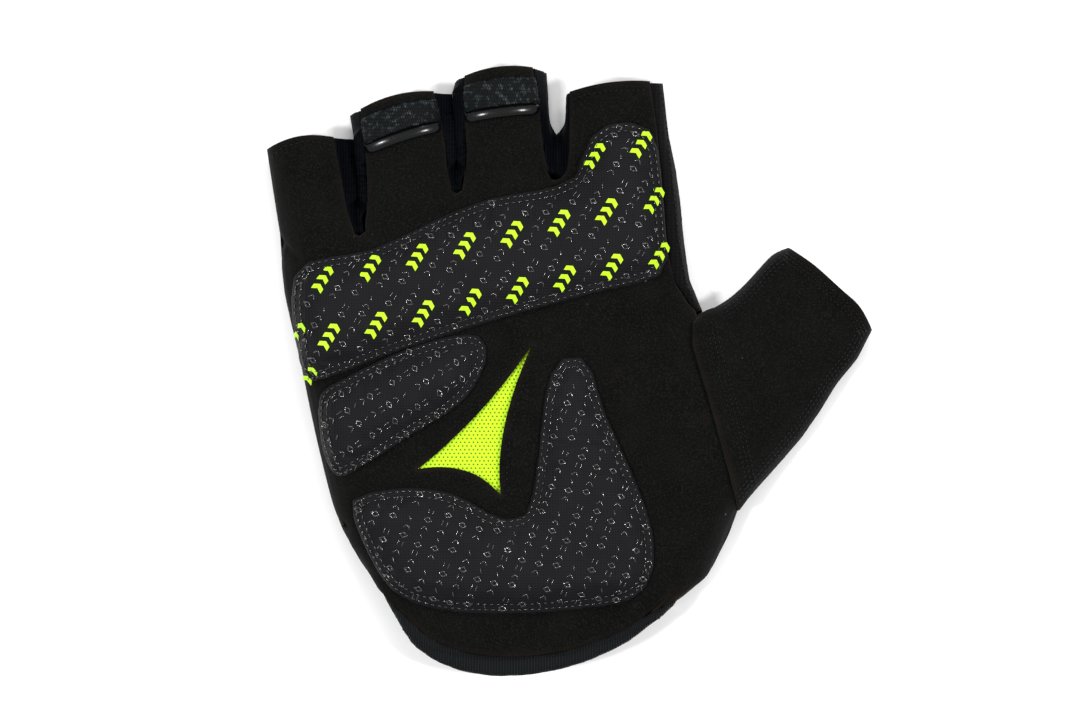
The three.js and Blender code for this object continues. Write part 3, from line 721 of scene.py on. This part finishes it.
def mesh_finish():
    bright = Finish("chartreuse mesh", (0.62, 0.86, 0.02), 0.7)
    split = bright.node("ShaderNodeSeparateXYZ", Vector=bright.place)
    across, along = split.outputs["X"], split.outputs["Y"]

    def lattice(shift):
        """How far each point is from the nearest hole of one half of the honeycomb."""
        pitches = ((across, HOLE_PITCH), (along, HOLE_PITCH * math.sqrt(3)))
        squares = []
        for value, pitch in pitches:
            cell = bright.math("DIVIDE", value, pitch)
            cell = bright.math("ADD", cell, shift)
            offset = bright.math("SUBTRACT", bright.math("FRACT", cell), 0.5)
            offset = bright.math("MULTIPLY", offset, pitch)
            squares.append(bright.math("MULTIPLY", offset, offset))
        return bright.math("SQRT", bright.math("ADD", *squares))

    away = bright.math("MINIMUM", lattice(0.0), lattice(0.5))
    hole = bright.band(away, HOLE_RADIUS * 1.25, HOLE_RADIUS * 0.6)
    loops = bright.noise(0.35 * MM, 2)
    yarn = bright.tint(bright.band(loops, 0.3, 0.7), (0.40, 0.72, 0.008), (0.54, 0.88, 0.020))
    bright.color(bright.mix(hole, yarn, (0.07, 0.12, 0.004)))
    bright.bump(bright.band(away, HOLE_RADIUS * 0.8, HOLE_PITCH * 0.5), 0.22 * MM, 0.7)
    bright.sheen(0.05, 0.3)
    bright.gloss(0.2)
    return bright.material


def make_mesh():
    bm = outer_skin("mesh_inset", UP)
    refine(bm, 1.2 * MM)
    soften(bm, rounds=4)
    draw_tip(bm)
    piece = add_piece("mesh", bm, mesh_finish(), "mesh_cloth", "mesh_inset")
    thicken(piece, MESH_THICKNESS)


make_mesh()

# Pull tabs. Satin tape sewn at both ends across the middle and ring stalls. Its free edge is rolled
# into a glossy lip that stands off the suede, so that a fingertip can hook under it.
TABS = ["pull_tab_ring", "pull_tab_middle"]
TAB_MESH = 0.8 * MM
LIP_WIDTH = 3.4 * MM
LIP_HEIGHT = 1.5 * MM
LIP_BELOW = 1.1 * MM  # how far the lip's middle is below the tape's lower edge
LIP_STATIONS = 26
LIP_START = 0.02  # where the lip starts, as a share of the tape's width
LIP_REACH = 0.93  # how much of that width it takes up
LIP_TAPER = 3  # how many stations an end takes to come to its full size
LIP_FEELERS = 60  # at how many heights the tape's free edge is felt for
LIP_FEELER_STEP = 0.15 * MM
ABOVE_ALL = 80 * MM  # a height over the whole glove


def tape_finish():
    tape = Finish("dark woven tape", (0.008, 0.011, 0.012), 0.45)
    picks = tape.node(
        "ShaderNodeTexBrick",
        {"offset": 0.5},
        Vector=tape.place,
        Scale=1 / MM,
        Brick_Width=0.62,
        Row_Height=0.9,
        Mortar_Size=0.13,
        Mortar_Smooth=0.7,
    ).outputs["Fac"]
    # Flecks on the picks: their lower roughness is real gloss, and their much lighter colour is a painted
    # glint.
    patches = tape.band(tape.noise(1.4 * MM, 3), 0.52, 0.64)
    gloss_and_painted_glints = tape.math("MULTIPLY", tape.band(picks, 1, 0), patches)
    cloth = tape.tint(picks, (0.0016, 0.0026, 0.0030), (0.0003, 0.0005, 0.0006))
    tape.color(tape.mix(gloss_and_painted_glints, cloth, (0.020, 0.030, 0.034)))
    tape.rough(tape.band(gloss_and_painted_glints, 0, 1, 0.6, 0.25))
    tape.bump(picks, -0.12 * MM, 0.9)
    tape.bump(tape.noise(1.1 * MM, 2), 0.2 * MM, 0.5)
    tape.gloss(0.1)
    return tape.material


def lip_finish():
    """The tape's satin back, which the rolled edge turns outwards."""
    satin = Finish("dark satin", (0.002, 0.0022, 0.0025), 0.2)
    strands = satin.noise(0.5 * MM, 2)
    satin.color(satin.tint(strands, (0.0010, 0.0012, 0.0014), (0.0026, 0.0030, 0.0034)))
    satin.rough(satin.band(strands, 0.3, 0.7, 0.16, 0.24))
    satin.gloss(0.32)
    return satin.material


TAPE = tape_finish()
LIP = lip_finish()


def tube(bm, path, width, height):
    """A flattened roll along a path, closed at both ends."""
    rings = []
    for i, place in enumerate(path):
        along = (path[min(i + 1, len(path) - 1)] - path[max(i - 1, 0)]).normalized()
        turn = Matrix.Translation(place) @ along.to_track_quat("Z", "Y").to_matrix().to_4x4()
        from_end = min(i, len(path) - 1 - i) + 1
        taper = math.sqrt(min(1, from_end / LIP_TAPER))
        size = Matrix.Diagonal((width * taper, height * taper, 1, 1))
        made = bmesh.ops.create_circle(bm, segments=16, radius=0.5, matrix=turn @ size)
        rings.append(list(dict.fromkeys(edge for vert in made["verts"] for edge in vert.link_edges)))
    for ring, following in zip(rings, rings[1:]):
        bmesh.ops.bridge_loops(bm, edges=ring + following)
    bmesh.ops.contextual_create(bm, geom=rings[0])
    bmesh.ops.contextual_create(bm, geom=rings[-1])
    bmesh.ops.recalc_face_normals(bm, faces=bm.faces)


def surface_of(piece):
    return BVHTree.FromObject(piece, bpy.context.evaluated_depsgraph_get())


def dropped(tree, place, height=0.0):
    """The point of a surface under a place, and the way that it faces there."""
    spot, normal, _, _ = tree.ray_cast(Vector((place.x, place.y, ABOVE_ALL)), -UP)
    if spot is None:
        return None, None
    return spot + normal * height, normal


def lower_edge(node):
    """The free edge of a pull tab, felt for from the wrist's side."""
    bm = merged_copy(node)
    tree = BVHTree.FromBMesh(bm)
    bm.free()
    low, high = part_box(node)
    path = []
    for i in range(LIP_STATIONS):
        x = low.x + (high.x - low.x) * (LIP_START + LIP_REACH * i / (LIP_STATIONS - 1))
        heights = [low.z + n * LIP_FEELER_STEP for n in range(LIP_FEELERS)]
        starts = [Vector((x, low.y - 10 * MM, height)) for height in heights]
        felt = [tree.ray_cast(start, Vector((0, 1, 0)))[0] for start in starts]
        path.append(min((spot for spot in felt if spot), key=lambda spot: spot.y))
    return path


def make_tab(node):
    bm = merged_copy(node)
    refine(bm, TAB_MESH)
    for _ in range(3):
        relax(bm, bm.verts, 0.5)
    bm.normal_update()
    add_piece(f"{node}_tape", bm, TAPE, "tape", node)
    tree = surface_of(palm)
    edge = lower_edge(node)
    below = [dropped(tree, place - Vector((0, LIP_BELOW, 0)), LIP_HEIGHT * 0.4)[0] for place in edge]
    path = [place for place in below if place]
    for _ in range(6):
        between = [(a + 2 * b + c) / 4 for a, b, c in zip(path, path[1:], path[2:])]
        path = [path[0], *between, path[-1]]
    bm = bmesh.new()
    tube(bm, path, LIP_WIDTH, LIP_HEIGHT)
    add_piece(f"{node}_lip", bm, LIP, "tape")


for node in TABS:
    make_tab(node)

# Wrist binding. A ribbed elastic band, folded over the raw edges of both panels all round the wrist's
# opening and sewn through. Its ribs run across it, and it is drawn a little over the panels.
BAND_MESH = 1.4 * MM
RIB_PITCH = 0.72 * MM
HUB_ABOVE = 45 * MM  # the ribs fan out from a point this far above the band's middle
BAND_LAP = 0.45 * MM  # how far the band is drawn over the panels' raw edges
BAND_END_LAP = 0.8 * MM  # how much further it is drawn at its ends
BAND_END_REACH = 8 * MM
BAND_ENDS = [(373, 586), (645, 615), (689, 598)]  # pixels of the photograph


def binding_finish():
    band = Finish("ribbed elastic", (0.004, 0.0055, 0.0068), 0.55)
    turns = band.math("MULTIPLY", band.attribute("along"), 2 * math.pi / RIB_PITCH)
    ribs = band.band(band.math("SINE", turns), -1, 1)
    fluff = band.noise(0.5 * MM, 2)
    # Painted light and shade on the ribs: their crests lighter, the grooves between them nearly black.
    cloth = band.tint(ribs, (0.0001, 0.0002, 0.0003), (0.0066, 0.0094, 0.0112))
    band.color(band.mix(band.band(fluff, 0.3, 0.7, 0, 0.35), cloth, (0.0018, 0.0026, 0.0032)))
    band.bump(ribs, 0.4 * MM, 1.0)
    band.sheen(0.03, 0.4)
    band.gloss(0.12)
    return band.material


def make_binding():
    bm = merged_copy("wrist_binding")
    refine(bm, BAND_MESH)
    for _ in range(5):
        relax(bm, bm.verts, 0.5)
    bm.normal_update()
    low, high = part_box("wrist_binding")
    middle = (low + high) / 2
    hub = Vector((middle.x, middle.y + HUB_ABOVE, 0))
    along = bm.verts.layers.float.new("along")
    for vert in bm.verts:
        arm = in_plan(vert.co - hub)
        vert[along] = math.atan2(arm.x, -arm.y) * arm.length
        drawn = BAND_LAP
        for end in BAND_ENDS:
            away = (vert.co - from_photo(*end)).xy.length
            drawn += BAND_END_LAP * max(0, 1 - away / BAND_END_REACH)
        vert.co -= arm.normalized() * drawn
    return add_piece("wrist_band", bm, binding_finish(), "binding_rib", "wrist_binding")


binding = make_binding()

# Stitching. Rows of separate stitches, each pulled into the cloth at its ends. Glossy bonded thread
# holds the pads, and duller spun thread the suede, the thumb and the wrist band.
THREAD = 0.42 * MM
STITCH_LIFT = 0.08 * MM  # how far a stitch's middle is above the cloth
PAD_ROWS = (0.9 * MM, 2.3 * MM)  # how far in from the pad's outline
WINDOW_ROW = 1.9 * MM  # how far out from the window's edge
PALM_ROWS = [
    # points of the photograph, as in the rows that follow
    [(271, 158), (284, 147), (308, 141), (333, 146)],
    [(572, 101), (584, 95), (612, 91), (646, 91)],
]
SIDE_ROW = [(661, 90), (667, 130), (673, 190), (678, 240), (686, 285), (694, 302)]
THUMB_SEAM = [(748, 488), (744, 468), (736, 432), (727, 400), (718, 369), (711, 342), (707, 322)]
BAND_ROW = [(391, 614), (408, 634), (427, 647), (466, 657), (510, 659), (568, 654), (629, 634), (676, 608)]
THUMB_SEAM_ROWS = (-1.9 * MM, -0.8 * MM, 0.3 * MM)  # sideways from the thumb's seam
THUMB_EDGE_ROWS = (1.7 * MM, 2.6 * MM, 3.5 * MM)  # how far in from the thumb's edge
THUMB_SEAM_CLEAR = 5 * MM  # the rows along the edge stop this far from the seam


def thread_finish(name, roughness, gloss):
    thread = Finish(name, (0.002, 0.002, 0.0021), roughness)
    twist = thread.waves(0.9 * MM)
    thread.color(thread.tint(twist, (0.0006, 0.0006, 0.0007), (0.0030, 0.0030, 0.0032)))
    thread.bump(twist, 0.05 * MM, 0.8)
    thread.gloss(gloss)
    return thread.material


BONDED_THREAD = thread_finish("bonded thread", 0.18, 0.9)
SPUN_THREAD = thread_finish("spun thread", 0.5, 0.16)


def add_stitch(bm, spot, along, normal, length):
    side = normal.cross(along).normalized()
    turn = Matrix((side, normal.cross(side), normal)).transposed().to_4x4()
    size = Matrix.Diagonal((THREAD, length, THREAD, 1))
    bmesh.ops.create_uvsphere(
        bm, u_segments=6, v_segments=4, radius=0.5, matrix=Matrix.Translation(spot) @ turn @ size
    )


def sew(bm, tree, path, closed=False, *, pitch, length):
    """One row of stitches."""
    points = spaced(path, pitch, closed)
    for i, place in enumerate(points[:-1] if not closed else points):
        onward = points[(i + 1) % len(points)] - place
        spot, normal = dropped(tree, place + onward / 2)
        if spot is None:
            continue
        along = (onward - normal * onward.dot(normal)).normalized()
        add_stitch(bm, spot + STITCH_LIFT * normal, along, normal, length)


def shifted(path, distance, closed=True):
    """The path moved sideways in plan. A positive distance moves a closed path into its own area."""
    area = sum(a.x * b.y - b.x * a.y for a, b in zip(path, path[1:] + path[:1]))
    side = 1 if area > 0 or not closed else -1
    moved = []
    for i, place in enumerate(path):
        before = path[i - 1] if closed or i else place
        after = path[(i + 1) % len(path)] if closed or i < len(path) - 1 else place
        along = in_plan(after - before).normalized()
        moved.append(place + Vector((-along.y, along.x, 0)) * distance * side)
    return moved


def settled(path, rounds=6):
    """A closed path with its kinks smoothed away."""
    for _ in range(rounds):
        path = [(path[i - 1] + 2 * place + path[(i + 1) % len(path)]) / 4 for i, place in enumerate(path)]
    return path


def sew_pads():
    bm = bmesh.new()
    for piece, rim in pads.values():
        tree = surface_of(piece)
        for inwards in PAD_ROWS:
            sew(bm, tree, settled(shifted(rim, inwards)), closed=True, pitch=1.7 * MM, length=1.25 * MM)
    add_piece("pad_stitches", bm, BONDED_THREAD, "pad_cloth")


def is_over(path, node):
    low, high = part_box(node)
    return all(low.x < place.x < high.x and low.y < place.y < high.y for place in path)


def sew_palm():
    bm = bmesh.new()
    tree = surface_of(palm)
    skin = outer_skin("palm_panel", UP)
    window = max((loop for loop in boundary_loops(skin) if is_over(loop, "mesh_inset")), key=len)
    skin.free()
    row = shifted(spaced(window, 0.8 * MM, closed=True), -WINDOW_ROW)
    sew(bm, tree, row, closed=True, pitch=1.5 * MM, length=0.95 * MM)
    for row in PALM_ROWS:
        sew(bm, tree, [from_photo(*point) for point in row], pitch=1.4 * MM, length=0.9 * MM)
    sew(bm, surface_of(back), [from_photo(*point) for point in SIDE_ROW], pitch=1.5 * MM, length=MM)
    add_piece("palm_stitches", bm, SPUN_THREAD, "suede")


def sew_thumb():
    bm = bmesh.new()
    tree = surface_of(thumb)
    seam = [from_photo(*point) for point in THUMB_SEAM]
    seam_points = spaced(seam, MM)
    for sideways in THUMB_SEAM_ROWS:
        sew(bm, tree, shifted(seam, sideways, closed=False), pitch=1.25 * MM, length=0.85 * MM)
    skin = outer_skin("thumb_front", UP)
    rim = spaced(max(boundary_loops(skin), key=len), 0.6 * MM, closed=True)
    skin.free()
    for inwards in THUMB_EDGE_ROWS:
        row = settled(shifted(rim, inwards))
        away = [min((place - point).xy.length for point in seam_points) for place in row]
        run = [place for place, distance in zip(row, away) if distance > THUMB_SEAM_CLEAR]
        start = max(range(len(run)), key=lambda i: (run[i] - run[i - 1]).length)
        sew(bm, tree, run[start:] + run[:start], pitch=1.25 * MM, length=0.85 * MM)
    add_piece("thumb_stitches", bm, SPUN_THREAD, "suede")


def sew_binding():
    bm = bmesh.new()
    row = [from_photo(*point) for point in BAND_ROW]
    sew(bm, surface_of(binding), row, pitch=1.1 * MM, length=0.75 * MM)
    add_piece("band_stitches", bm, SPUN_THREAD, "binding_rib")


sew_pads()
sew_palm()
sew_thumb()
sew_binding()

# Grip print. Raised silicone marks in slanting lines on the pad covers. Most are small glossy black
# lozenges, ticks and dashes. The long pad also has rows of three chartreuse chevrons.
PRINT_PERIOD = 20.0 * MM  # from one group to the next along a line
PRINT_LINES = 4.3 * MM  # from one line to the next
PRINT_SHIFT = 8.75 * MM  # how far each pair of lines is moved along from the pair before
ODD_LINE_SHIFT = 5.2 * MM  # how much further the second line of a pair is moved
PRINT_MARGIN = 0.9 * MM
MARK_PITCH = 2.25 * MM
MARK_LIFT = 0.05 * MM
CLEAR_OF_BRIGHT = 2.2 * MM
PRINTED = {
    # where the middle of one group is in the photograph, and how steeply the lines run
    "knuckle_pad": ((372.1, 266.7), math.radians(58)),
    "side_pad": ((352, 408), math.radians(32)),
    "heel_pad": ((420, 540), math.radians(68)),
}
CHEVRON_PITCH = 2.55 * MM
CHEVRON_SUNK = 0.1 * MM
BRIGHT_MARGIN = 0.15 * MM
BRIGHT_ROWS = [
    # the middle of a row's first group in the photograph, the step to the next, and how many there are
    ((325, 278), (47.1, -11.3), 8),
    ((331, 335), (47.0, -11.6), 8),
    ((596, 155), (46, -12), 2),
    ((297, 334), (0, 0), 1),
    ((308, 378), (0, 0), 1),
]


def print_finish(name, color, roughness, gloss):
    """Silicone print, a little uneven where the weave shows through."""
    silicone = Finish(name, color, roughness)
    uneven = silicone.noise(0.6 * MM, 2)
    silicone.color(silicone.tint(uneven, [0.75 * part for part in color], [1.1 * part for part in color]))
    silicone.rough(silicone.band(uneven, 0.3, 0.7, 0.7 * roughness, 1.2 * roughness))
    silicone.bump(uneven, 0.06 * MM, 0.6)
    silicone.gloss(gloss)
    return silicone.material


BLACK_PRINT = print_finish("black silicone print", (0.0040, 0.0040, 0.0046), 0.12, 1.0)
BRIGHT_PRINT = print_finish("chartreuse print", (0.43, 0.78, 0.012), 0.5, 0.2)


def lozenge_mark():
    """A hollow lozenge: a bead's round section, spun in four steps."""
    bead_radius = 0.3 * MM
    corner_reach = 0.88 * MM
    bm = bmesh.new()
    section = bmesh.ops.create_circle(bm, segments=6, radius=bead_radius)["verts"]
    bmesh.ops.rotate(bm, verts=section, cent=(0, 0, 0), matrix=Matrix.Rotation(math.pi / 2, 3, "X"))
    bmesh.ops.translate(bm, verts=section, vec=(corner_reach, 0, 0))
    geom = bm.verts[:] + bm.edges[:]
    bmesh.ops.spin(bm, geom=geom, axis=UP, cent=(0, 0, 0), steps=4, angle=2 * math.pi, use_merge=True)
    bmesh.ops.scale(bm, verts=bm.verts, vec=(0.8, 1.15, 0.8))
    return finished_mark(bm)


def bars_mark(*bars):
    """Thin bars, each given by how far across the line it is and by its turn."""
    length, width, height = 1.7 * MM, 0.46 * MM, 0.44 * MM
    bm = bmesh.new()
    for across, turn in bars:
        place = Matrix.Translation((0, across, 0)) @ Matrix.Rotation(turn, 4, "Z")
        size = Matrix.Diagonal((length, width, height, 1))
        bmesh.ops.create_uvsphere(bm, u_segments=6, v_segments=6, radius=0.5, matrix=place @ size)
    return finished_mark(bm)


def chevron_mark():
    """A broad arrowhead that points along the line."""
    wing, thickness, sweep, middle = 1.45 * MM, 1.3 * MM, 0.8 * MM, 0.1 * MM
    height, rounding = 0.34 * MM, 0.12 * MM
    bm = bmesh.new()
    front = [(0, wing), (sweep, 0), (0, -wing)]
    outline = front + [(x - thickness, y) for x, y in reversed(front)]
    face = bm.faces.new([bm.verts.new((x - middle, y, 0)) for x, y in reversed(outline)])
    top = bmesh.ops.extrude_face_region(bm, geom=[face])["geom"]
    raised = [part for part in top if isinstance(part, bmesh.types.BMVert)]
    bmesh.ops.translate(bm, verts=raised, vec=(0, 0, height))
    rim = [edge for edge in bm.edges if all(vert in raised for vert in edge.verts)]
    bmesh.ops.bevel(bm, geom=rim, offset=rounding, affect="EDGES", segments=2, profile=0.5, material=-1)
    return finished_mark(bm)


def finished_mark(bm):
    bmesh.ops.remove_doubles(bm, verts=bm.verts, dist=0.001 * MM)
    bmesh.ops.recalc_face_normals(bm, faces=bm.faces)
    mesh = bpy.data.meshes.new("mark")
    bm.to_mesh(mesh)
    bm.free()
    return mesh


def is_within(place, rim):
    """Whether a place is inside a closed path, seen from above."""
    inside = False
    for a, b in zip(rim, rim[1:] + rim[:1]):
        if (a.y > place.y) != (b.y > place.y):
            if place.x < a.x + (b.x - a.x) * (place.y - a.y) / (b.y - a.y):
                inside = not inside
    return inside


def stamp(bm, mark, tree, place, along, height):
    """Lays a mark on a pad with its own +X along the line."""
    spot, normal = dropped(tree, place, height)
    if spot is None:
        return
    across = normal.cross(along).normalized()
    turn = Matrix((across.cross(normal), across, normal)).transposed().to_4x4()
    copy = mark.copy()
    copy.transform(Matrix.Translation(spot) @ turn)
    bm.from_mesh(copy)
    bpy.data.meshes.remove(copy)


def print_groups(middle, lean, count=24):
    """The middle of every group, the direction of its line, and whether the line is an even one."""
    along = Vector((math.cos(lean), math.sin(lean), 0))
    across = Vector((math.sin(lean), -math.cos(lean), 0))
    for line in range(-count, count + 1):
        shift = PRINT_SHIFT * (line // 2) + (ODD_LINE_SHIFT if line % 2 else 0)
        for group in range(-count // 2, count // 2 + 1):
            reach = group * PRINT_PERIOD + shift % PRINT_PERIOD
            place = from_photo(*middle) + across * line * PRINT_LINES + along * reach
            yield place, along, line % 2 == 0


def print_bright(bm):
    """Stamps the chevrons and gives their places."""
    piece, rim = pads["knuckle_pad"]
    tree = surface_of(piece)
    safe = settled(shifted(rim, BRIGHT_MARGIN))
    lean = PRINTED["knuckle_pad"][1]
    along = Vector((math.cos(lean), math.sin(lean), 0))
    places = []
    for (x, y), (right, down), count in BRIGHT_ROWS:
        for i in range(count):
            middle = from_photo(x + right * i, y + down * i)
            places += [middle + along * CHEVRON_PITCH * step for step in (-1, 0, 1)]
    for place in places:
        if is_within(place, safe):
            stamp(bm, CHEVRON, tree, place, along, -CHEVRON_SUNK)
    return places


def print_black(bm, node, kept_clear):
    piece, rim = pads[node]
    tree = surface_of(piece)
    safe = settled(shifted(rim, PRINT_MARGIN))
    for middle, along, is_even in print_groups(*PRINTED[node]):
        marks = EVEN_LINE if is_even else ODD_LINE
        for i, mark in enumerate(marks):
            place = middle + along * (i - (len(marks) - 1) / 2) * MARK_PITCH
            is_clear = all((place - other).length > CLEAR_OF_BRIGHT for other in kept_clear)
            if is_clear and is_within(place, safe):
                stamp(bm, mark, tree, place, along, MARK_LIFT)


LOZENGE = lozenge_mark()
TICK = bars_mark((-0.5 * MM, math.radians(40)), (0.5 * MM, math.radians(-40)))
DASHES = bars_mark((-0.6 * MM, 0), (0.6 * MM, 0))
SLANTED = bars_mark((0, math.radians(35)))
CHEVRON = chevron_mark()
EVEN_LINE = [LOZENGE, TICK, DASHES, LOZENGE, SLANTED, TICK, LOZENGE, DASHES]
ODD_LINE = [TICK, LOZENGE, SLANTED, TICK, DASHES, LOZENGE, TICK, SLANTED]


def add_print():
    black, bright = bmesh.new(), bmesh.new()
    chevrons = print_bright(bright)
    for node in PAD_NODES:
        print_black(black, node, chevrons)
    add_piece("black_print", black, BLACK_PRINT, "pad_cloth")
    print_piece = add_piece("bright_print", bright, BRIGHT_PRINT, "pad_cloth")
    for face in print_piece.data.polygons:
        face.use_smooth = False


add_print()
